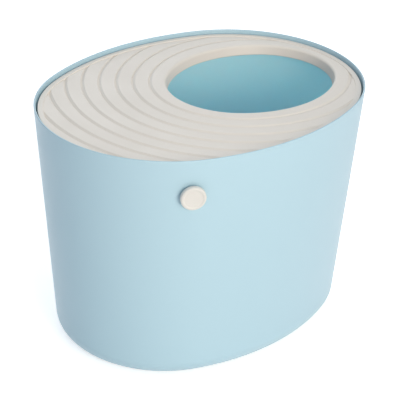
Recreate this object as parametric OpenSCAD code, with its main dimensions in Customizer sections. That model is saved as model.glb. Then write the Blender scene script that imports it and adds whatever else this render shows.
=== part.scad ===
// Top entry litter box: an oval tub, and a lid that drops inside its rim.
// The origin is on the ground under the middle of the tub. +X is the tub's long way, toward
// the end that has the opening. -Y is the front, and +Z is up.

/* [Tub] */
// Length over the rim
tub_length = 520; // [504:4:536]
// Width over the rim
tub_width = 408; // [400:4:416]
// Height of the rim above the ground
tub_height = 370; // [330:1:400]
// Thickness of the tub's wall and floor
wall = 2.6; // [2.2:0.1:3]
// How far the wall leans in from the rim down to the floor
wall_lean = 30; // [20:1:36]
// Radius of the rounded edge between wall and floor
base_radius = 29; // [20:1:34]

/* [Lid] */
// Drop from the rim down to the lid's border
lid_drop = 6; // [4:0.5:9]
// Gap between the lid's edge and the wall at the rim
lid_gap = 3; // [2:0.5:4]
// Thickness of the lid's plate
plate = 2.4; // [2.2:0.1:3]
// Width of the raised border
border_width = 8; // [6:0.5:10]
// Height of the border above the grooved field
border_height = 2.3; // [1.5:0.1:3]
// Depth of the lid's skirt below the border
skirt_depth = 13; // [10:1:20]

/* [Opening] */
// Length of the way in
opening_length = 268; // [256:4:272]
// Width of the way in
opening_width = 228; // [216:4:236]
// From the rim's right end to the opening's edge
opening_gap = 28; // [27:1:40]
// Depth of the collar around the opening
collar_depth = 14; // [10:1:20]
// Radius of the collar's soft top edge
collar_edge = 3.2; // [2.6:0.1:4]

/* [Grooves] */
// Number of grooves around the opening
groove_count = 8; // [4:1:8]
// From the opening's edge to the middle of the first groove
groove_start = 26; // [22:1:28]
// Step from one groove to the next
groove_step = 25; // [22:1:26]
// Width of a groove at its top
groove_width = 4.9; // [4:0.1:6]
// Depth of a groove
groove_depth = 2; // [1.5:0.1:2.4]

/* [Scoop peg] */
// Drop from the rim down to the peg's middle
peg_drop = 54; // [45:1:90]
// Direction of the peg around the tub's left end, counted from +X
peg_angle = 240; // [225:1:242]
// Diameter of the peg's head
peg_head = 38; // [30:1:42]
// Thickness of the peg's head at its rim
peg_thickness = 7; // [5:0.5:9]
// Gap behind the head, where the scoop's handle hangs
peg_gap = 3; // [2:0.5:6]
// Diameter of the peg's shank
shank = 10; // [8:0.5:12]

/* [Feet] */
// Diameter of a foot
foot_size = 26; // [20:1:30]
// Height that the feet hold the tub off the ground
foot_height = 3; // [2:0.5:5]
// Distance between the feet along X
foot_length = 270; // [220:1:290]
// Distance between the feet along Y
foot_width = 160; // [120:1:180]

/* [Hidden] */
$fn = 192;

seat_gap = 0.3;                         // between the skirt and the ledge it rests on
arc_lap = 0.01;                         // how far an oval's arcs lap, so that they fuse
far = 600;                              // beyond every edge of the object
half_length = tub_length / 2;
half_width = tub_width / 2;
// An oval here is four arcs. Two of its arcs' middles and the oval's own middle form a
// right triangle with these sides, which keeps every middle and radius a short number.
rim_triangle = [5, 12, 13];
opening_triangle = [3, 4, 5];
end_radius = end_arc(half_length, half_width, rim_triangle);
end_middle = half_length - end_radius;
side_radius = side_arc(half_length, half_width, rim_triangle);
side_middle = side_radius - half_width;
floor_z = foot_height;                  // underside of the tub
lean_angle = atan(wall_lean / (tub_height - floor_z));
wall_across = wall / cos(lean_angle);   // the wall's thickness, measured level
edge_z = floor_z + base_radius;         // middle of the base edge's arc
edge_x = lean(edge_z) - base_radius / cos(lean_angle);
floor_edge = edge_x - 12;               // how far the wall's sweep takes in the floor

border_z = tub_height - lid_drop;
field_z = border_z - border_height;
skirt_z = border_z - skirt_depth;
lid_edge = -wall - lid_gap;
ledge_z = skirt_z - seat_gap;
ledge_width = 9;
ledge_height = 2.4;
gusset_height = 14;
gusset_width = 2;
gusset_end_step = 26;
gusset_side_step = 13;

opening_x = half_length - opening_gap - opening_length / 2;
reach = opening_x + half_length;        // takes the plate past its farthest edge
border_edge = 0.8;
collar_inside = 2;                      // round under the plate, where the collar starts
rib_height = 9;
rib_xs = [for (inset = [60, 115, 170]) inset - half_length];

groove_radius = (groove_width^2 / 4 + groove_depth^2) / (2 * groove_depth);
groove_centre_z = groove_radius - groove_depth;

peg_height = tub_height - peg_drop;
peg_hole = shank + 0.1;
peg_neck = shank + 6;
peg_rim = 3.2;
peg_dish = 1.6;
pad_size = peg_neck + 10;               // flat faces on the wall, for the peg and its clip
pad_out = 1.2;
pad_in = 0.8;
clip_z = -wall - pad_in;
clip_height = 1.8;
clip_slot = 2;
clip_core = shank - 2.6;
clip_size = shank + 9;
clip_mouth = clip_core * 0.86;
clip_play = 0.03;                       // all round between the clip and the shank's core
shank_tip = 3.4;

socket_wall = 1.6;
socket_depth = foot_height - 1.4;
foot_play = 0.02;

// How far in the wall's outer face is at height z
function lean(z) = -wall_lean * (tub_height - z) / (tub_height - floor_z);
// Size of the triangle's unit in an oval with half length a and half width b
function unit(a, b, triangle) = (a - b) / (triangle[0] - 1);
// Radius of an oval's two ends
function end_arc(a, b, triangle) = b - unit(a, b, triangle);
// Radius of an oval's two long sides
function side_arc(a, b, triangle) =
    end_arc(a, b, triangle) + triangle[2] * unit(a, b, triangle);

// Turns a profile all the way around. In the profile, x = 0 is at radius r, and what would
// cross the axis is left out.
module turn(r) {
    rotate_extrude()
        intersection() {
            translate([r, 0]) children();
            translate([0, -far]) square([2 * far, 2 * far]);
        }
}

// Sweeps a profile along an oval. In the profile, x = 0 is the oval's line, and x grows
// outward. Each of the four arcs fills its own wedge of the plan, and the ends' wedges lap
// the sides' a little.
module sweep_oval(a, b, triangle) {
    x = triangle[0] * unit(a, b, triangle);
    y = triangle[1] * unit(a, b, triangle);
    n = ceil(far / x);
    for (side = [-1, 1]) {
        intersection() {
            translate([side * x, 0, 0]) turn(end_arc(a, b, triangle)) children();
            translate([0, 0, -far])
                linear_extrude(2 * far)
                    polygon([
                        [side * (x - arc_lap), 0],
                        [side * (n * x - arc_lap), y * (n - 1)],
                        [side * (n * x - arc_lap), -y * (n - 1)]
                    ]);
        }
        intersection() {
            translate([0, -side * y, 0]) turn(side_arc(a, b, triangle)) children();
            translate([0, 0, -far])
                linear_extrude(2 * far)
                    polygon([
                        [0, -side * y],
                        [n * x, side * y * (n - 1)],
                        [-n * x, side * y * (n - 1)]
                    ]);
        }
    }
}

module sweep_rim() {
    sweep_oval(half_length, half_width, rim_triangle) children();
}

module sweep_opening() {
    translate([opening_x, 0, 0])
        sweep_oval(opening_length / 2, opening_width / 2, opening_triangle) children();
}

// A solid oval that keeps the given distance inside the rim. Each side's arc fills a little
// more than its own half, and stays clear of the far wall.
module inside_rim(inset, z0, z1) {
    sweep_rim() translate([-half_width - 5, z0]) square([half_width + 5 - inset, z1 - z0]);
}

// A point t inside the wall's outer face at height z
function in_wall(t, z) = [lean(z) - t / cos(lean_angle), z];

// Everything inside the wall's outer face, moved in by t, as far as the floor's edge
module tub_section(t, top) {
    low = floor_z + t;
    middle = [edge_x, edge_z];
    difference() {
        polygon([in_wall(t, top), in_wall(t, low), [floor_edge, low], [floor_edge, top]]);
        difference() {
            polygon([
                middle + (base_radius - t) * [cos(lean_angle), -sin(lean_angle)],
                in_wall(t - 1, low - 1),
                [edge_x, low - 1],
                [edge_x, low]
            ]);
            translate(middle) circle(r = base_radius - t);
        }
    }
}

module tub_profile() {
    rim_middle = in_wall(wall / 2, tub_height - wall / 2);
    difference() {
        tub_section(0, tub_height);
        tub_section(wall, tub_height + 1);
        difference() {
            translate(rim_middle) rotate(-lean_angle)
                translate([-2 * wall, 0]) square([4 * wall, 2 * wall]);
            translate(rim_middle) circle(d = wall);
        }
    }
}

module ledge_profile() {
    x1 = lean(ledge_z) - wall_across / 2;
    translate([-wall - ledge_width, ledge_z - ledge_height])
        square([x1 + wall + ledge_width, ledge_height]);
}

// One rib under the ledge, drawn at radius r from the arc's middle
module gusset(r) {
    top = ledge_z - ledge_height / 2;
    rotate([90, 0, 0])
        translate([r, 0, -gusset_width / 2])
            linear_extrude(gusset_width)
                polygon([
                    [-wall - ledge_width + 1, top],
                    [lean(top) - wall_across / 2, top],
                    [lean(top - gusset_height) - wall_across / 2, top - gusset_height],
                    [lean(top - gusset_height) - wall_across - 1, top - gusset_height]
                ]);
}

module gussets() {
    for (side = [0, 180], turn = [-2:2])
        rotate([0, 0, side])
            translate([end_middle, 0, 0])
                rotate([0, 0, turn * gusset_end_step]) gusset(end_radius);
    for (side = [90, 270], turn = [-1:1])
        rotate([0, 0, side])
            translate([-side_middle, 0, 0])
                rotate([0, 0, turn * gusset_side_step]) gusset(side_radius);
}

// Puts +Z along the wall's outward normal, with z = 0 on its outer face at the peg
module at_peg() {
    translate([-end_middle, 0, peg_height])
        rotate([0, 0, peg_angle])
            translate([end_radius + lean(peg_height), 0, 0])
                rotate([0, 90 + lean_angle, 0]) children();
}

module at_feet() {
    for (x = [-1, 1], y = [-1, 1])
        translate([x * foot_length / 2, y * foot_width / 2, 0]) children();
}

module foot_sockets() {
    at_feet()
        translate([0, 0, floor_z - socket_depth])
            difference() {
                cylinder(d = foot_size + 2 * socket_wall, h = socket_depth + wall / 2);
                translate([0, 0, -1])
                    cylinder(d = foot_size + 2 * foot_play, h = socket_depth + 1);
            }
}

module bin_shell() {
    color("lightblue")
    difference() {
        union() {
            sweep_rim() tub_profile();
            sweep_rim() ledge_profile();
            inside_rim(-floor_edge - 2, floor_z, floor_z + wall);
            gussets();
            foot_sockets();
            at_peg() translate([0, 0, clip_z])
                cylinder(d = pad_size, h = pad_out - clip_z);
        }
        at_peg() cylinder(d = peg_hole, h = 40, center = true);
    }
}

module at_grooves() {
    for (i = [0:groove_count - 1])
        translate([groove_start + i * groove_step, groove_centre_z]) children();
}

// The plate with its collar and grooves, drawn outward from the opening's edge
module plate_profile() {
    difference() {
        union() {
            translate([0, -plate]) square([reach, plate]);
            translate([0, plate / 2 - collar_depth]) square([plate, collar_depth - plate]);
            translate([plate / 2, plate / 2 - collar_depth]) circle(d = plate);
            translate([plate - 0.5, -plate - collar_inside])
                square([collar_inside + 0.5, collar_inside + 0.5]);
            intersection() {
                at_grooves() circle(r = groove_radius + plate);
                translate([0, -far - plate / 2]) square([reach, far]);
            }
        }
        at_grooves() circle(r = groove_radius);
        difference() {
            translate([-1, -collar_edge]) square([collar_edge + 1, collar_edge + 1]);
            translate([collar_edge, -collar_edge]) circle(r = collar_edge);
        }
        translate([plate + collar_inside, -plate - collar_inside])
            circle(r = collar_inside);
    }
}

// What a rib may fill under the plate, clear of the grooves
module under_profile() {
    difference() {
        translate([3 * plate, -rib_height]) square([reach, rib_height - plate / 2]);
        at_grooves() circle(r = groove_radius + plate / 2);
    }
}

// The raised border and the skirt below it
module border_profile() {
    difference() {
        translate([lid_edge - border_width, field_z - plate])
            square([border_width, border_z - field_z + plate]);
        for (side = [-1, 1])
            translate([lid_edge - border_width / 2, border_z - border_edge])
                scale([side, 1])
                    translate([border_width / 2 - border_edge, 0])
                        difference() {
                            square(border_edge + 1);
                            circle(r = border_edge);
                        }
    }
    translate([lid_edge - plate, skirt_z]) square([plate, field_z - skirt_z]);
}

module ribs() {
    intersection() {
        translate([0, 0, field_z]) sweep_opening() under_profile();
        for (x = rib_xs)
            translate([x, -half_width, field_z - rib_height])
                cube([plate, tub_width, rib_height]);
    }
}

module lid() {
    color("antiquewhite") {
        intersection() {
            union() {
                translate([0, 0, field_z]) sweep_opening() plate_profile();
                ribs();
            }
            inside_rim(plate / 2 - lid_edge, skirt_z - far, border_z);
        }
        sweep_rim() border_profile();
    }
}

module scoop_peg() {
    back = pad_out + peg_gap;
    radius = peg_head / 2;
    color("ivory")
    at_peg()
        rotate_extrude()
            difference() {
                union() {
                    translate([0, clip_z - shank_tip]) square([shank / 2 - 1, shank_tip]);
                    translate([0, clip_z - shank_tip + 1]) square([shank / 2, back - clip_z]);
                    translate([0, pad_out]) square([peg_neck / 2, peg_gap + 1]);
                    translate([0, back]) square([radius - peg_rim, peg_thickness - peg_dish]);
                    translate([0, back]) square([radius, peg_thickness - peg_rim]);
                    translate([radius - peg_rim, back + peg_thickness - peg_rim])
                        circle(r = peg_rim);
                }
                translate([clip_core / 2, clip_z - clip_slot]) square([shank, clip_slot]);
            }
}

module peg_clip() {
    color("gainsboro")
    at_peg()
        translate([0, 0, clip_z - clip_height])
            difference() {
                cylinder(d = clip_size, h = clip_height);
                translate([0, 0, -1])
                    cylinder(d = clip_core + 2 * clip_play, h = clip_height + 2);
                translate([0, -clip_mouth / 2, -1])
                    cube([clip_size, clip_mouth, clip_height + 2]);
            }
}

module foot(x, y) {
    color("dimgray")
    translate([x * foot_length / 2, y * foot_width / 2, 0])
        rotate_extrude() {
            translate([0, 1]) square([foot_size / 2, floor_z - 1]);
            square([foot_size / 2 - 1, 2]);
            translate([foot_size / 2 - 1, 1]) circle(r = 1);
        }
}

module foot_front_left() { foot(-1, -1); }
module foot_front_right() { foot(1, -1); }
module foot_rear_left() { foot(-1, 1); }
module foot_rear_right() { foot(1, 1); }

bin_shell();
lid();
scoop_peg();
peg_clip();
foot_front_left();
foot_front_right();
foot_rear_left();
foot_rear_right();
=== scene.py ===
import math
import bpy
import numpy as np
from mathutils import Matrix, Vector


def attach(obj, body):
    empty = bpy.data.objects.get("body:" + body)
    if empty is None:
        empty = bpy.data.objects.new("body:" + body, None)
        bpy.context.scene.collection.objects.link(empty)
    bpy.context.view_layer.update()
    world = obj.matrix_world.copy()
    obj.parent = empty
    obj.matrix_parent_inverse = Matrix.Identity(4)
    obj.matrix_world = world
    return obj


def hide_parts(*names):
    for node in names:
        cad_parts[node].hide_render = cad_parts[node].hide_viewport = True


# A top entry litter box: a deep oval tub, a grooved lid that rests on a ledge inside it, and
# a peg for the scoop on its front, on a pale studio floor.
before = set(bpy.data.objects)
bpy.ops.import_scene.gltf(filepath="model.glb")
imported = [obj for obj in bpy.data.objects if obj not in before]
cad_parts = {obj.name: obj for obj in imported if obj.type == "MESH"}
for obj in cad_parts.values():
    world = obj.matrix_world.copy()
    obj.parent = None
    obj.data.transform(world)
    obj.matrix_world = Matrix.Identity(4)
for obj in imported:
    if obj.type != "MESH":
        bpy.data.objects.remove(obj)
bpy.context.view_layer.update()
print("frame loaded:", len(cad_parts), "nodes")

mm = 0.001  # the sizes of the box are in millimetres, and meshes are stored in metres
sharpFrom = math.radians(38)  # edges that turn by more than this are shaded as corners


# One arc: centre plus radius times (cos, sin), for evenly spaced angles in degrees.
def arc(centre, radius, start, end, steps):
    angle = np.radians(np.linspace(start, end, steps + 1))
    return np.stack([centre[0] + radius * np.cos(angle), centre[1] + radius * np.sin(angle)], -1)


# Middles and radii of an oval's arcs. The end arc's middle, the side arc's middle and the
# oval's own middle make a right triangle, so the arcs meet where its long side points.
def ovalArcs(oval):
    a, b, tri = oval["halfLength"], oval["halfWidth"], oval["triangle"]
    unit = (a - b) / (tri[0] - 1)
    endRadius = b - unit
    return tri[0] * unit, tri[1] * unit, endRadius, endRadius + tri[2] * unit, math.atan2(tri[1], tri[0])


# Points along an oval, evenly spaced: the turn angle grows by length over radius on each
# arc, and a point is its arc's middle plus radius times the outward direction.
def ovalPath(oval, count, middleX=0.0):
    endX, sideY, endRadius, sideRadius, meet = ovalArcs(oval)
    knots = np.array([0, meet, math.pi - meet, math.pi + meet, 2 * math.pi - meet, 2 * math.pi])
    radii = np.array([endRadius, sideRadius, endRadius, sideRadius, endRadius])
    lengths = np.concatenate([[0], np.cumsum(np.diff(knots) * radii)])
    angle = np.interp((np.arange(count) + 0.5) / count * lengths[-1], lengths, knots)
    out = np.stack([np.cos(angle), np.sin(angle)], -1)
    onEnd = np.abs(out[:, 0]) > math.cos(meet)
    middle = np.stack([np.where(onEnd, np.sign(out[:, 0]) * endX, 0),
                       np.where(onEnd, 0, -np.sign(out[:, 1]) * sideY)], -1)
    radius = np.where(onEnd, endRadius, sideRadius)[:, None]
    return middle + radius * out + [middleX, 0], out


# How far a point is outside an oval, and the way outward there: its distance from the arc's
# middle less the radius, on the arc whose wedge holds the point.
def ovalOffset(oval, xy, middleX=0.0):
    endX, sideY, endRadius, sideRadius, meet = ovalArcs(oval)
    x, y = xy[..., 0] - middleX, xy[..., 1]
    onEnd = (np.abs(x) - endX) * math.sin(meet) > np.abs(y) * math.cos(meet)
    away = np.stack([np.where(onEnd, x - np.sign(x) * endX, x),
                     np.where(onEnd, y, y + np.sign(y) * sideY)], -1)
    distance = np.linalg.norm(away, axis=-1)
    return distance - np.where(onEnd, endRadius, sideRadius), away / np.maximum(distance, 1e-9)[..., None]


# Carries a profile of (out, up) points along a closed path: point plus out times the path's
# outward direction, and up as the height.
def sweep(path, out, profile):
    xy = path[:, None, :] + out[:, None, :] * profile[None, :, :1]
    z = np.broadcast_to(profile[None, :, 1:], xy.shape[:2] + (1,))
    return np.concatenate([xy, z], -1)


# Two triangles for each cell of a grid whose rows close on themselves. With closed=True the
# last column joins the first too. Cells that share corners give fewer triangles.
def gridFaces(index, closed=True):
    a = index if closed else index[:, :-1]
    b = np.roll(index, -1, 1) if closed else index[:, 1:]
    c, d = np.roll(a, -1, 0), np.roll(b, -1, 0)
    faces = np.concatenate([np.stack([a, c, d], -1).reshape(-1, 3), np.stack([a, d, b], -1).reshape(-1, 3)])
    whole = (faces[:, 0] != faces[:, 1]) & (faces[:, 1] != faces[:, 2]) & (faces[:, 2] != faces[:, 0])
    return faces[whole]


# Puts (points, faces, smooth) parts into one list of points and one of faces.
def joined(parts):
    counts = np.cumsum([0] + [len(p[0]) for p in parts])
    points = np.concatenate([p[0] for p in parts])
    faces = np.concatenate([p[1] + n for p, n in zip(parts, counts)])
    smooth = np.concatenate([np.full(len(p[1]), p[2]) for p in parts])
    return points, faces, smooth


# A profile that closes on itself, turned about local Z, then set in place by a 3 by 3 matrix
# and a shift: radius times (cos, sin) of the turn, and height.
def turned(profile, steps, turn=np.eye(3), place=(0, 0, 0), closed=True):
    angle = np.arange(steps) / steps * 2 * math.pi
    ring = np.stack([np.cos(angle), np.sin(angle)], -1)
    grid = sweep(np.zeros((steps, 2)), ring, profile)
    index = np.arange(steps * len(profile)).reshape(steps, len(profile))
    if not closed:  # the first and last points stand on the axis, and each becomes one point
        index[:, 0], index[:, -1] = index[0, 0], index[0, -1]
    return grid.reshape(-1, 3) @ np.array(turn).T + place, gridFaces(index, closed), True


# Adds a point just before and just after each bend of a profile, so that smooth shading
# stays within the bend: each new point is the given distance along a long straight.
def guarded(profile, distance=0.35):
    step = np.diff(profile, axis=0)
    length = np.linalg.norm(step, axis=1)
    keep = []
    for p, s, n in zip(profile[:-1], step, length):
        keep.append(p)
        if n > 4 * distance:
            keep += [p + s * distance / n, p + s * (1 - distance / n)]
    return np.array(keep + [profile[-1]])


# Makes one mesh of the parts, without the points that no face uses, and puts it in the place
# of a solid. With insideness, each point also gets how far inside the wall it lies.
def newPiece(name, parts, body, node, material, insideness=None):
    points, faces, smooth = joined(parts)
    used, back = np.unique(faces, return_inverse=True)
    points, faces = points[used] * mm, back.reshape(-1, 3)
    mesh = bpy.data.meshes.new(name)
    mesh.vertices.add(len(points))
    mesh.vertices.foreach_set("co", points.astype(np.float32).ravel())
    mesh.loops.add(faces.size)
    mesh.loops.foreach_set("vertex_index", faces.astype(np.int32).ravel())
    mesh.polygons.add(len(faces))
    mesh.polygons.foreach_set("loop_start", np.arange(0, faces.size, 3, dtype=np.int32))
    mesh.polygons.foreach_set("use_smooth", smooth)
    mesh.update(calc_edges=True)
    mesh.validate()
    mesh.set_sharp_from_angle(angle=sharpFrom)
    if insideness is not None:
        inner = mesh.attributes.new("inner", "FLOAT", "POINT")
        inner.data.foreach_set("value", insideness(points / mm).astype(np.float32))
    piece = bpy.data.objects.new(name, mesh)
    bpy.context.scene.collection.objects.link(piece)
    mesh.materials.append(material)
    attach(piece, body)
    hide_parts(node)
    print(name, "made:", len(faces), "triangles")
    return piece


def newMaterial(name):
    material = bpy.data.materials.new(name)
    material.use_nodes = True
    nodes, links = material.node_tree.nodes, material.node_tree.links
    return material, nodes, links, nodes["Principled BSDF"]


def addNode(nodes, kind, **settings):
    node = nodes.new(kind)
    for key, value in settings.items():
        if key in node.inputs:
            node.inputs[key].default_value = value
        else:
            setattr(node, key, value)
    return node


# The inner face of the tub: a paler colour is painted on it, painted light that brightens the
# inside, and daylight comes through the wall, more so with the height. Both follow the
# piece's own attribute "inner".
def paintedPaleAndMilkyInside(look, nodes, links, shader, where, colour):
    inner = addNode(nodes, "ShaderNodeAttribute", attribute_name="inner")
    # painted light: the inside gets a paler colour that stands in for light it lacks
    paintedPale = addNode(nodes, "ShaderNodeMix", data_type="RGBA")
    paintedPale.inputs["B"].default_value = (*look["colourInsidePaintedPale"], 1)
    links.new(inner.outputs["Fac"], paintedPale.inputs["Factor"])
    links.new(colour, paintedPale.inputs["A"])

    split = addNode(nodes, "ShaderNodeSeparateXYZ")
    links.new(where.outputs["Object"], split.inputs["Vector"])
    rise = addNode(nodes, "ShaderNodeMapRange")
    rise.inputs["From Min"].default_value = look["milkyFrom"] * mm
    rise.inputs["From Max"].default_value = look["milkyTo"] * mm
    links.new(split.outputs["Z"], rise.inputs["Value"])
    weight = addNode(nodes, "ShaderNodeMath", operation="MULTIPLY")
    links.new(inner.outputs["Fac"], weight.inputs[0])
    links.new(rise.outputs["Result"], weight.inputs[1])
    links.new(weight.outputs["Value"], shader.inputs["Subsurface Weight"])
    shader.inputs["Subsurface Radius"].default_value = look["milkyReach"]
    shader.inputs["Subsurface Scale"].default_value = look["milkyScale"] * mm
    return paintedPale.outputs["Result"]


# Moulded plastic: a slow drift of colour, gloss that varies in patches as it does with wear,
# and a bump of two noises, the slow waviness of a big moulding and its fine skin.
def mouldedPlastic(name, look):
    material, nodes, links, shader = newMaterial(name)
    where = addNode(nodes, "ShaderNodeTexCoord")
    drift = addNode(nodes, "ShaderNodeTexNoise", Scale=look["driftScale"], Detail=2.0)
    links.new(where.outputs["Object"], drift.inputs["Vector"])
    tint = addNode(nodes, "ShaderNodeMix", data_type="RGBA")
    tint.inputs["A"].default_value = (*look["colour"], 1)
    tint.inputs["B"].default_value = (*look["colourTwo"], 1)
    links.new(drift.outputs["Fac"], tint.inputs["Factor"])
    colour = tint.outputs["Result"]
    if "colourInsidePaintedPale" in look:
        colour = paintedPaleAndMilkyInside(look, nodes, links, shader, where, colour)
    links.new(colour, shader.inputs["Base Color"])

    patches = addNode(nodes, "ShaderNodeTexNoise", Scale=look["patchScale"], Detail=5.0, Roughness=0.6)
    links.new(where.outputs["Object"], patches.inputs["Vector"])
    gloss = addNode(nodes, "ShaderNodeMapRange")
    gloss.inputs["From Min"].default_value = 0.3
    gloss.inputs["From Max"].default_value = 0.7
    gloss.inputs["To Min"].default_value = look["roughness"] - look["roughnessSpread"]
    gloss.inputs["To Max"].default_value = look["roughness"] + look["roughnessSpread"]
    links.new(patches.outputs["Fac"], gloss.inputs["Value"])
    links.new(gloss.outputs["Result"], shader.inputs["Roughness"])

    skin = addNode(nodes, "ShaderNodeTexNoise", Scale=look["skinScale"], Detail=3.0)
    links.new(where.outputs["Object"], skin.inputs["Vector"])
    wave = addNode(nodes, "ShaderNodeTexNoise", Scale=look["waveScale"], Detail=1.0)
    links.new(where.outputs["Object"], wave.inputs["Vector"])
    fine = addNode(nodes, "ShaderNodeBump", Strength=look["skinStrength"], Distance=look["skinDepth"] * mm)
    links.new(skin.outputs["Fac"], fine.inputs["Height"])
    slow = addNode(nodes, "ShaderNodeBump", Strength=look["waveStrength"], Distance=look["waveDepth"] * mm)
    links.new(wave.outputs["Fac"], slow.inputs["Height"])
    links.new(fine.outputs["Normal"], slow.inputs["Normal"])
    links.new(slow.outputs["Normal"], shader.inputs["Normal"])
    shader.inputs["Specular IOR Level"].default_value = look["specular"]
    return material


tubLook = {
    "colour": (0.42, 0.61, 0.705), "colourTwo": (0.44, 0.625, 0.72),
    # the paler inside colour is painted light, to brighten the inside
    "colourInsidePaintedPale": (0.53, 0.79, 0.95),
    "driftScale": 3.0,
    "roughness": 0.36, "roughnessSpread": 0.04, "patchScale": 14.0,
    "skinScale": 900.0, "skinStrength": 0.25, "skinDepth": 0.02,
    "waveScale": 5.0, "waveStrength": 0.35, "waveDepth": 1.2,
    "specular": 0.4,
    "milkyReach": (0.5, 0.85, 1.0), "milkyScale": 15.0, "milkyFrom": 90.0, "milkyTo": 290.0,
}
lidLook = {
    "colour": (0.77, 0.722, 0.655), "colourTwo": (0.79, 0.742, 0.675),
    "driftScale": 5.0,
    "roughness": 0.5, "roughnessSpread": 0.05, "patchScale": 18.0,
    "skinScale": 1100.0, "skinStrength": 0.35, "skinDepth": 0.03,
    "waveScale": 7.0, "waveStrength": 0.2, "waveDepth": 0.6,
    "specular": 0.45,
}
pegLook = dict(lidLook, colour=(0.66, 0.65, 0.62), colourTwo=(0.69, 0.68, 0.65), roughness=0.42)
clipLook = dict(lidLook, colour=(0.62, 0.62, 0.6), colourTwo=(0.66, 0.66, 0.64), roughness=0.4)
footLook = dict(lidLook, colour=(0.045, 0.045, 0.048), colourTwo=(0.06, 0.06, 0.063), roughness=0.7,
                skinScale=600.0, skinStrength=0.6, skinDepth=0.08)

tubPlastic = mouldedPlastic("blueTubPlastic", tubLook)
lidPlastic = mouldedPlastic("creamLidPlastic", lidLook)
pegPlastic = mouldedPlastic("ivoryPegPlastic", pegLook)
clipPlastic = mouldedPlastic("paleClipPlastic", clipLook)
footRubber = mouldedPlastic("darkFootRubber", footLook)
print("finishes made")


rimOval = {"halfLength": 260.0, "halfWidth": 204.0, "triangle": (5, 12, 13)}

tub = {
    "height": 370.0, "floor": 3.0, "wall": 2.6, "lean": 30.0,
    "edgeRadius": 29.0, "flatFrom": 12.0,
    "ledgeTop": 350.7, "ledgeThick": 2.4, "ledgeReach": 11.6, "ledgeRound": 0.9,
    "gussetHeight": 14.0, "gussetWidth": 2.0, "gussetSetIn": 1.0,
    "endGussets": (-52, -26, 0, 26, 52), "sideGussets": (-13, 0, 13),  # degrees about each arc's middle
    "footSize": 26.0, "footX": 135.0, "footY": 80.0,
    "socketGap": 0.02, "socketWall": 1.6, "socketDepth": 1.6, "socketRound": 0.4, "socketSunk": 0.6,
    "paleFrom": 1.0, "paleFade": 4.0,
    "turns": 480, "socketTurns": 64, "padTurns": 96,
}
leanAngle = math.atan(tub["lean"] / (tub["height"] - tub["floor"]))


# How far in the wall's outer face is at a height: the lean times the share of the height
# that is still above.
def wallLine(z, depth=0.0):
    share = (tub["height"] - z) / (tub["height"] - tub["floor"])
    return -tub["lean"] * share - depth / math.cos(leanAngle)


# The tub's closed section, from the underside out, up over the rolled rim, and down the
# inside over the ledge to the floor: arcs tangent to the leaning wall at top and bottom.
def tubProfile():
    low, thick, lean = tub["floor"], tub["wall"], math.degrees(leanAngle)
    edgeZ = low + tub["edgeRadius"]
    edge = (wallLine(edgeZ) - tub["edgeRadius"] / math.cos(leanAngle), edgeZ)
    rim = (wallLine(tub["height"] - thick / 2, thick / 2), tub["height"] - thick / 2)
    top, under = tub["ledgeTop"], tub["ledgeTop"] - tub["ledgeThick"]
    r = tub["ledgeRound"]
    inset = edge[0] - tub["flatFrom"]
    return np.concatenate([
        [[inset, low]],
        arc(edge, tub["edgeRadius"], -90, -lean, 22),
        arc(rim, thick / 2, -lean, 180 - lean, 12),
        arc((wallLine(top, thick) - r, top + r), r, -lean, -90, 4),
        arc((-tub["ledgeReach"] + r, top - r), r, 90, 180, 4),
        arc((-tub["ledgeReach"] + r, under + r), r, 180, 270, 4),
        arc((wallLine(under, thick) - r, under - r), r, 90, -lean, 4),
        arc(edge, tub["edgeRadius"] - thick, -lean, -90, 22),
        [[inset, low + thick]],
    ])


# A flat patch that closes the floor: its ring of points joined to one in the middle.
def middlePatch(ring, height, facingUp):
    points = np.concatenate([np.c_[ring, np.full(len(ring), height)], [[0, 0, height]]])
    a = np.arange(len(ring))
    b = np.roll(a, -1)
    hub = np.full(len(ring), len(ring))
    return points, np.stack([a, b, hub] if facingUp else [b, a, hub], -1), True


# Ribs under the ledge: a four-sided outline, placed by angle about each arc's middle and
# given its width square to that direction, all as one array.
def gussetParts():
    endX, sideY, endRadius, sideRadius, meet = ovalArcs(rimOval)
    place = [(s * endX, 0, endRadius, math.radians(t) + (0 if s > 0 else math.pi))
             for s in (1, -1) for t in tub["endGussets"]]
    place += [(0, -s * sideY, sideRadius, math.radians(t) + s * math.pi / 2)
              for s in (1, -1) for t in tub["sideGussets"]]
    place = np.array(place)
    top = tub["ledgeTop"] - tub["ledgeThick"] / 2
    low = top - tub["gussetHeight"]
    setIn = tub["gussetSetIn"]
    outline = np.array([[-tub["ledgeReach"] + setIn, top], [wallLine(top, tub["wall"] / 2), top],
                        [wallLine(low, tub["wall"] / 2), low], [wallLine(low, tub["wall"]) - setIn, low]])
    half = tub["gussetWidth"] / 2
    side = np.array([-half] * 4 + [half] * 4)
    shape = np.concatenate([outline, outline])
    way = np.stack([np.cos(place[:, 3]), np.sin(place[:, 3])], -1)
    across = np.stack([-way[:, 1], way[:, 0]], -1)
    far = (place[:, 2, None] + shape[None, :, 0])[..., None]
    xy = place[:, None, :2] + far * way[:, None] + side[None, :, None] * across[:, None]
    z = np.broadcast_to(shape[None, :, 1:], xy.shape[:2] + (1,))
    points = np.concatenate([xy, z], -1).reshape(-1, 3)
    quad = np.array([[0, 1, 2, 3], [7, 6, 5, 4], [0, 4, 5, 1], [1, 5, 6, 2], [2, 6, 7, 3], [3, 7, 4, 0]])
    tri = np.concatenate([quad[:, [0, 1, 2]], quad[:, [0, 2, 3]]])
    faces = (tri[None] + 8 * np.arange(len(place))[:, None, None]).reshape(-1, 3)
    return points, faces, False
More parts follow.
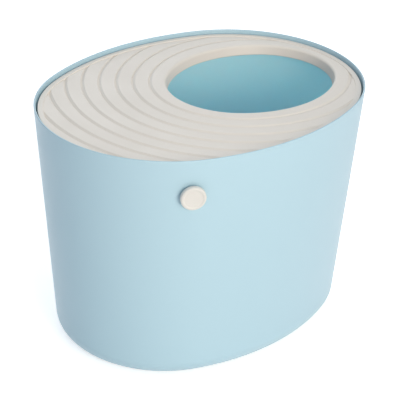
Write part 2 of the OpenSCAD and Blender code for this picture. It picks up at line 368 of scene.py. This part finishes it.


# How far inside the tub a point is, from 0 on the outer face to 1 on the inner one: its
# depth below the outer face over half the wall, less a half, kept from 0 to 1. The depth is
# taken from the leaning wall, from the round edge's arc, or from the floor. It falls to 0
# just above the ledge, so the rim gets neither the pale colour painted on the inside as
# painted light nor the light through the wall.
def insideness(points):
    z = points[:, 2]
    offset = ovalOffset(rimOval, points[:, :2])[0]
    edgeZ = tub["floor"] + tub["edgeRadius"]
    edgeX = wallLine(edgeZ) - tub["edgeRadius"] / math.cos(leanAngle)
    fromArc = tub["edgeRadius"] - np.hypot(offset - edgeX, z - edgeZ)
    fromLow = np.where(offset > edgeX, fromArc, z - tub["floor"])
    depth = np.where(z < edgeZ, fromLow, wallLine(z) - offset)
    below = np.clip((tub["ledgeTop"] + tub["paleFrom"] - z) / tub["paleFade"], 0, 1)
    return np.clip(depth / (tub["wall"] / 2) - 0.5, 0, 1) * below


# The low round wall about each foot, whose top is sunk in the floor.
def socketProfile():
    inner, outer = tub["footSize"] / 2 + tub["socketGap"], tub["footSize"] / 2 + tub["socketWall"]
    low, top, r = tub["floor"] - tub["socketDepth"], tub["floor"] + tub["socketSunk"], tub["socketRound"]
    return np.concatenate([arc((inner + r, low + r), r, 180, 270, 3), arc((outer - r, low + r), r, 270, 360, 3),
                           [[outer, top], [inner, top]]])


# The shell is the section carried round the rim's oval, with a flat patch inside each end of
# the section, and the ribs, sockets and peg's pad reach into it.
def makeTub():
    path, out = ovalPath(rimOval, tub["turns"])
    profile = guarded(tubProfile())
    grid = sweep(path, out, profile)
    index = np.arange(grid.shape[0] * grid.shape[1]).reshape(grid.shape[:2])
    parts = [(grid.reshape(-1, 3), gridFaces(index, closed=False), True),
             middlePatch(grid[:, 0, :2], tub["floor"], facingUp=False),
             middlePatch(grid[:, -1, :2], tub["floor"] + tub["wall"], facingUp=True),
             gussetParts()]
    parts += [turned(socketProfile(), tub["socketTurns"], place=(x * tub["footX"], y * tub["footY"], 0))
              for x in (-1, 1) for y in (-1, 1)]
    parts.append(turned(padProfile(), tub["padTurns"], *pegPlace()))
    return newPiece("tubShell", parts, "bin", "bin_shell", tubPlastic, insideness)


peg = {
    "height": 316.0, "angle": 240.0,
    "head": 36.2, "thickness": 7.0, "rimRound": 2.8, "dish": 0.9, "dishRound": 1.6, "gap": 3.0,
    "headRound": 0.9, "neck": 16.0, "neckRound": 0.8,
    "shank": 10.0, "tip": 3.4, "tipRound": 1.0, "clipSlot": 2.0, "clipCore": 7.4,
    "padSize": 26.0, "padOut": 1.2, "padIn": 0.8, "padRound": 0.6, "padInRound": 0.4, "holeGap": 0.05,
    "turns": 128, "guard": 0.2,
}


# The wall's outward direction at the peg, as a matrix whose third column it is, and the
# point on the wall's outer face: the end arc's middle plus its radius along that direction.
def pegPlace():
    endX, sideY, endRadius, sideRadius, meet = ovalArcs(rimOval)
    turn = math.radians(peg["angle"])
    flat = np.array([math.cos(turn), math.sin(turn), 0])
    up = np.array([0, 0, 1.0])
    third = math.cos(leanAngle) * flat - math.sin(leanAngle) * up
    first = -math.sin(leanAngle) * flat - math.cos(leanAngle) * up
    second = np.array([-math.sin(turn), math.cos(turn), 0])
    point = np.array([-endX, 0, peg["height"]]) + (endRadius + wallLine(peg["height"])) * flat
    return np.stack([first, second, third], -1), point


# The round pad that thickens the wall behind the peg, with a soft outer edge.
def padProfile():
    hole, edge = peg["shank"] / 2 + peg["holeGap"], peg["padSize"] / 2
    low, top = -tub["wall"] - peg["padIn"], peg["padOut"]
    r, q = peg["padRound"], peg["padInRound"]
    return np.concatenate([[[hole, low]], arc((edge - q, low + q), q, 270, 360, 3),
                           arc((edge - r, top - r), r, 0, 90, 4), [[hole, top]]])


# The peg's section from the tip to the middle of its dished face: straight steps joined by
# the round rim of the head, which falls by a soft curve to the flat of the dish. The rim's
# arc and the dish's are tangent, so the cosine of the turn between them is the height from
# one middle to the other over the sum of their radii.
def pegProfile():
    back = peg["padOut"] + peg["gap"]
    clip = -tub["wall"] - peg["padIn"]
    shank, core, neck, head = (peg[k] / 2 for k in ("shank", "clipCore", "neck", "head"))
    r, face = peg["rimRound"], back + peg["thickness"]
    floor = face - peg["dish"]
    rim = (head - r, face - r)
    q = peg["dishRound"]
    drop = math.degrees(math.acos((r - peg["dish"] + q) / (r + q)))
    dishFoot = rim[0] - (r + q) * math.sin(math.radians(drop))
    tipRound, neckRound, headRound = peg["tipRound"], peg["neckRound"], peg["headRound"]
    return np.concatenate([
        [[0, clip - peg["tip"]]],
        arc((shank - tipRound, clip - peg["tip"] + tipRound), tipRound, 270, 360, 4),
        [[shank, clip - peg["clipSlot"]], [core, clip - peg["clipSlot"]], [core, clip], [shank, clip]],
        [[shank, peg["padOut"]], [neck, peg["padOut"]]],
        arc((neck + neckRound, back - neckRound), neckRound, 180, 90, 4),
        arc((head - headRound, back + headRound), headRound, 270, 360, 5),
        arc(rim, r, 0, 90 + drop, 14),
        arc((dishFoot, floor + q), q, drop - 90, -90, 6),
        [[0, floor]],
    ])


def makePeg():
    part = turned(guarded(pegProfile(), peg["guard"]), peg["turns"], *pegPlace(), closed=False)
    return newPiece("scoopPeg", [part], "bin", "scoop_peg", pegPlastic)


openingOval = {"halfLength": 134.0, "halfWidth": 114.0, "triangle": (3, 4, 5)}

lid = {
    "openingX": 98.0,
    "borderTop": 364.0, "field": 362.6, "skirtBottom": 351.0,
    "edge": -5.6, "borderWidth": 8.0, "borderRound": 0.8, "plate": 2.4,
    "collarDepth": 14.9, "collarOut": 1.5, "collarIn": 2.5, "collarRound": 3.2, "collarFillet": 2.0,
    "collarGuard": 0.4,
    "grooves": 8, "grooveStart": 26.0, "grooveStep": 25.0,
    "grooveWidth": 4.9, "grooveDepth": 2.0,
    "crest": 0.5, "crestAt": -4.6, "dip": -1.8, "slopeTilt": 30.0, "wallTilt": 55.0, "lipRound": 0.5,
    "skirtRound": 0.5, "innerRound": 1.0,
    "ribXs": (-200.0, -145.0, -90.0), "ribHeight": 9.9, "ribClear": 1.6, "ribPoints": 401,
    "past": 150.0, "farthest": 400.0, "halvings": 44,
    "turns": 600, "guard": 0.3,
}
grooveRadius = (lid["grooveWidth"] ** 2 / 4 + lid["grooveDepth"] ** 2) / (2 * lid["grooveDepth"])
grooveRise = grooveRadius - lid["grooveDepth"]
grooveMiddles = lid["grooveStart"] + lid["grooveStep"] * np.arange(lid["grooves"])


# One groove seen across: a round crest, a long slope down and away from the opening, a round
# foot, and a short steep wall back up to a round lip. Each arc is tangent to the straights,
# and a straight's length is the height that its arcs leave, over the sine of its tilt. Given
# as (distance from the groove's middle, height above the flat).
def grooveShape():
    r, slope, wall = lid["lipRound"], math.radians(lid["slopeTilt"]), math.radians(lid["wallTilt"])
    crest = arc((lid["crestAt"], lid["crest"] - r), r, 91, 90 - lid["slopeTilt"], 4)
    drop = crest[-1, 1] - lid["dip"] - r * (1 - math.cos(slope))
    foot = crest[-1] + [drop / math.tan(slope) + r * math.sin(slope), r * math.cos(slope) - drop]
    bowl = arc(foot, r, 270 - lid["slopeTilt"], 270 + lid["wallTilt"], 6)
    rise = -r * (1 - math.cos(wall)) - bowl[-1, 1]
    lip = bowl[-1] + [rise / math.tan(wall) + r * math.sin(wall), rise - r * math.cos(wall)]
    return np.concatenate([crest, bowl, arc(lip, r, 90 + lid["wallTilt"], 91, 4)])


# The same groove from below, where the plate bulges to keep its thickness: the groove's arc
# moved out by the plate, as far as it stands below the plate's flat underside.
def bulgeShape():
    radius = grooveRadius + lid["plate"]
    tilt = math.degrees(math.asin((grooveRise + lid["plate"]) / radius))
    return arc((0, grooveRise), radius, 360 - tilt, 180 + tilt, 8)


# The collar narrows downward: a profile's points move sideways by a straight-line share of
# their depth, out at the top and in at the bottom.
def leaned(profile):
    share = -profile[:, 1:] / lid["collarDepth"]
    shift = lid["collarOut"] - (lid["collarOut"] + lid["collarIn"]) * share
    return profile + np.concatenate([shift, np.zeros_like(shift)], 1)


# The lid's field on top, from the opening's edge outward, as distance and height.
def fieldRows():
    r = lid["collarRound"]
    shape = guarded(np.concatenate([grooveShape() + [m, 0] for m in grooveMiddles]
                                   + [[[grooveMiddles[-1] + lid["past"], 0]]]), lid["guard"])
    flatFrom = r + lid["collarOut"] + lid["guard"]
    return np.concatenate([leaned(arc((r, -r), r, 180, 90, 8)), [[flatFrom, 0]], shape])


# The plate from below, from far out back to the collar.
def underRows():
    bulges = np.concatenate([bulgeShape() + [m, 0] for m in grooveMiddles[::-1]])
    r = lid["collarFillet"]
    return np.concatenate([[[grooveMiddles[-1] + lid["past"], -lid["plate"]]], bulges,
                           leaned(arc((lid["plate"] + r, -lid["plate"] - r), r, 90, 180, 5))])


# The raised border from its inner edge over the top, down the skirt and up inside it to the
# plate's underside, as distance and height.
def borderRows():
    b, s, q = lid["borderRound"], lid["skirtRound"], lid["innerRound"]
    top, low, width, plate = lid["borderTop"], lid["skirtBottom"], lid["borderWidth"], lid["plate"]
    return guarded(np.concatenate([
        arc((b, top - b), b, 180, 90, 5),
        arc((width - b, top - b), b, 90, 0, 5),
        arc((width - s, low + s), s, 0, -90, 3),
        arc((width - plate + s, low + s), s, 270, 180, 3),
        arc((width - plate - q, lid["field"] - plate - q), q, 0, 90, 4),
    ]), lid["guard"])


# The collar's round foot, and its inner face up to the round edge of the way in.
def collarRows():
    half = lid["plate"] / 2
    foot, guard = half - lid["collarDepth"], lid["collarGuard"]
    return np.concatenate([arc((half, foot), half, 0, -180, 8),
                           [[0, foot + guard], [0, -lid["collarRound"] - guard]]])


# The whole lid is one closed grid. Each column starts at the opening's edge and runs straight
# out from it; rows past the border are drawn back to it, and the border and skirt then
# follow the rim's own outward direction there.
def makeLid():
    path, out = ovalPath(openingOval, lid["turns"], lid["openingX"])
    reachLine = lid["edge"] - lid["borderWidth"]
    near, far = np.zeros(len(path)), np.full(len(path), lid["farthest"])
    for _ in range(lid["halvings"]):  # halves the span that holds the border, for all columns at once
        middle = (near + far) / 2
        inside = ovalOffset(rimOval, path + out * middle[:, None])[0] < reachLine
        near, far = np.where(inside, middle, near), np.where(inside, far, middle)
    reach = near
    foot = path + out * reach[:, None]
    across = ovalOffset(rimOval, foot)[1]

    def rowsOut(rows):
        distance = np.minimum(rows[None, :, 0], reach[:, None])
        xy = path[:, None, :] + out[:, None, :] * distance[..., None]
        rising = rows if rows[-1, 0] > rows[0, 0] else rows[::-1]
        height = np.interp(distance, rising[:, 0], rising[:, 1])
        height = np.where(distance < rows[None, :, 0] - 1e-9, height, rows[None, :, 1])
        return np.concatenate([xy, lid["field"] + height[..., None]], -1)

    top, under = fieldRows(), underRows()
    topGrid, underGrid = rowsOut(top), rowsOut(under)

    border, collar = borderRows(), collarRows()
    borderGrid = sweep(foot, across, border)
    collarGrid = sweep(path, out, leaned(collar) + [0, lid["field"]])

    grid = np.concatenate([topGrid, borderGrid, underGrid, collarGrid], 1)
    columns, rows = grid.shape[:2]
    row = np.broadcast_to(np.arange(rows), (columns, rows)).copy()
    inTop = np.arange(rows) < len(top)
    startUnder = len(top) + len(border)
    inUnder = (np.arange(rows) >= startUnder) & (np.arange(rows) < startUnder + len(under))
    distance = np.concatenate([top[:, 0], np.zeros(len(border)), under[:, 0], np.zeros(len(collar))])
    lastTop = np.sum((distance[None] < reach[:, None]) & inTop[None], 1)
    past = distance[None] >= reach[:, None]
    row = np.where(inTop[None] & past, lastTop[:, None], row)
    firstUnder = startUnder + np.sum(past & inUnder[None], 1) - 1
    row = np.where(inUnder[None] & past, firstUnder[:, None], row)
    index = np.arange(columns)[:, None] * rows + row
    shell = (grid.reshape(-1, 3), gridFaces(index), True)
    return newPiece("lidPanel", [shell, *ribParts()], "lid", "lid", lidPlastic)


# A rib under the lid: for steps across the lid, its top edge is the middle of the plate's
# thickness, which dips under each groove, and its foot is flat.
def ribParts():
    parts = []
    for x in lid["ribXs"]:
        y = np.linspace(-200, 200, lid["ribPoints"])
        xy = np.stack([np.full_like(y, x), y], -1)
        xy = xy[ovalOffset(rimOval, xy)[0] < lid["edge"] - lid["ribClear"]]
        away = ovalOffset(openingOval, xy, lid["openingX"])[0]
        toGroove = np.min(np.abs(away[:, None] - grooveMiddles[None]), 1)
        r = grooveRadius + lid["plate"] / 2
        dip = grooveRise - np.sqrt(np.maximum(r ** 2 - toGroove ** 2, 0))
        top = lid["field"] + np.minimum(-lid["plate"] / 2, np.where(toGroove < r, dip, 0))
        low = np.full(len(xy), lid["field"] - lid["ribHeight"])
        thick = lid["plate"]
        ring = [np.c_[xy, low], np.c_[xy + [thick, 0], low], np.c_[xy + [thick, 0], top], np.c_[xy, top]]
        grid = np.stack(ring, 0)
        index = np.arange(grid.shape[0] * grid.shape[1]).reshape(grid.shape[:2])
        faces = gridFaces(index, closed=False)[:, ::-1]
        n = len(xy)
        ends = np.array([[0, n, 2 * n], [0, 2 * n, 3 * n],
                         [n - 1, 3 * n - 1, 2 * n - 1], [n - 1, 4 * n - 1, 3 * n - 1]])
        parts.append((grid.reshape(-1, 3), np.concatenate([faces, ends]), False))
    return parts


makeTub()
makePeg()
makeLid()

smallParts = {"peg_clip": clipPlastic, "foot_front_left": footRubber, "foot_front_right": footRubber,
              "foot_rear_left": footRubber, "foot_rear_right": footRubber}
for name, material in smallParts.items():
    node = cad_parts[name]
    node.data.materials.clear()
    node.data.materials.append(material)
print("small parts finished")


studio = {
    "floorSize": 60.0, "floorColour": (0.9, 0.9, 0.9), "floorGlow": 0.55,
    "skyColour": (0.91, 1.0, 1.11), "skyStrength": 0.46,
    "aim": (0.0, 0.0, 0.2),
    "lamps": {
        "keyLamp": {"place": (-0.9, -2.83, 1.11), "size": 1.6, "power": 55.0, "colour": (1.0, 0.89, 0.76)},
        "topLamp": {"place": (0.2, -0.5, 3.2), "size": 1.8, "power": 15.0, "colour": (1.0, 0.97, 0.93)},
        "backLamp": {"place": (1.6, 2.6, 1.3), "size": 2.0, "power": 18.0, "colour": (0.97, 0.99, 1.0)},
    },
}


# 1 for what the camera sees straight on, in a gloss or through glass, and 0 for daylight.
def seenDirectly(nodes, links):
    path = addNode(nodes, "ShaderNodeLightPath")
    total = path.outputs["Is Camera Ray"]
    for ray in ("Is Glossy Ray", "Is Transmission Ray"):
        larger = addNode(nodes, "ShaderNodeMath", operation="MAXIMUM")
        links.new(total, larger.inputs[0])
        links.new(path.outputs[ray], larger.inputs[1])
        total = larger.outputs["Value"]
    return total


# A pale floor that is white to the camera by a little glow of its own, and keeps the shadow.
def makeFloor():
    half = studio["floorSize"] / 2
    mesh = bpy.data.meshes.new("studioFloor")
    corners = [(-half, -half, 0), (half, -half, 0), (half, half, 0), (-half, half, 0)]
    mesh.from_pydata(corners, [], [(0, 1, 2, 3)])
    floor = bpy.data.objects.new("studioFloor", mesh)
    bpy.context.scene.collection.objects.link(floor)
    material, nodes, links, shader = newMaterial("paleFloor")
    shader.inputs["Base Color"].default_value = (*studio["floorColour"], 1)
    shader.inputs["Roughness"].default_value = 0.9
    glow = addNode(nodes, "ShaderNodeEmission", Color=(1, 1, 1, 1))
    share = addNode(nodes, "ShaderNodeMath", operation="MULTIPLY")
    share.inputs[1].default_value = studio["floorGlow"]
    links.new(seenDirectly(nodes, links), share.inputs[0])
    links.new(share.outputs["Value"], glow.inputs["Strength"])
    both = addNode(nodes, "ShaderNodeAddShader")
    links.new(shader.outputs["BSDF"], both.inputs[0])
    links.new(glow.outputs["Emission"], both.inputs[1])
    links.new(both.outputs["Shader"], nodes["Material Output"].inputs["Surface"])
    mesh.materials.append(material)


def makeLamp(name, values):
    data = bpy.data.lights.new(name, "AREA")
    data.shape = "DISK"
    data.size = values["size"]
    data.energy = values["power"]
    data.color = values["colour"]
    lamp = bpy.data.objects.new(name, data)
    lamp.location = values["place"]
    lamp.rotation_mode = "QUATERNION"
    lamp.rotation_quaternion = (Vector(studio["aim"]) - Vector(values["place"])).to_track_quat("-Z", "Y")
    bpy.context.scene.collection.objects.link(lamp)


# Even daylight from all round, behind a background that is plain white.
def makeSky():
    world = bpy.data.worlds.new("studioSky")
    bpy.context.scene.world = world
    world.use_nodes = True
    nodes, links = world.node_tree.nodes, world.node_tree.links
    sky = nodes["Background"]
    sky.inputs["Color"].default_value = (*studio["skyColour"], 1)
    sky.inputs["Strength"].default_value = studio["skyStrength"]
    white = addNode(nodes, "ShaderNodeBackground", Strength=1.0)
    white.inputs["Color"].default_value = (1, 1, 1, 1)
    mix = addNode(nodes, "ShaderNodeMixShader")
    links.new(seenDirectly(nodes, links), mix.inputs["Fac"])
    links.new(sky.outputs["Background"], mix.inputs[1])
    links.new(white.outputs["Background"], mix.inputs[2])
    links.new(mix.outputs["Shader"], nodes["World Output"].inputs["Surface"])


# The camera of the photograph: a direction, a distance from the point it aims at, and a
# small roll about its own axis.
photoView = {
    "azimuth": -42.964, "elevation": 28.132, "roll": 1.769,
    "distance": 2.4667, "target": (0.0, 0.0, 0.185),
    "lens": 146.7, "aside": (0.00129, 0.00194),
}


def makeCamera():
    a, e, roll = (math.radians(photoView[k]) for k in ("azimuth", "elevation", "roll"))
    back = Vector((math.sin(a) * math.cos(e), -math.cos(a) * math.cos(e), math.sin(e)))
    right = Vector((math.cos(a), math.sin(a), 0))
    up = back.cross(right)
    right, up = right * math.cos(roll) + up * math.sin(roll), up * math.cos(roll) - right * math.sin(roll)
    target = Vector(photoView["target"])
    place = target + back * photoView["distance"]
    target = target + right * photoView["aside"][0] + up * photoView["aside"][1]
    back = (place - target).normalized()
    right = up.cross(back).normalized()
    up = back.cross(right)
    data = bpy.data.cameras.new("photoCamera")
    data.lens = photoView["lens"]
    data.sensor_width = 36.0
    data.clip_end = 100.0
    camera = bpy.data.objects.new("photoCamera", data)
    camera.matrix_world = Matrix(((right.x, up.x, back.x, place.x), (right.y, up.y, back.y, place.y),
                                  (right.z, up.z, back.z, place.z), (0, 0, 0, 1)))
    bpy.context.scene.collection.objects.link(camera)
    bpy.context.scene.camera = camera


makeFloor()
makeSky()
for name, values in studio["lamps"].items():
    makeLamp(name, values)
makeCamera()
bpy.context.scene.view_settings.view_transform = "Standard"
print("studio made")
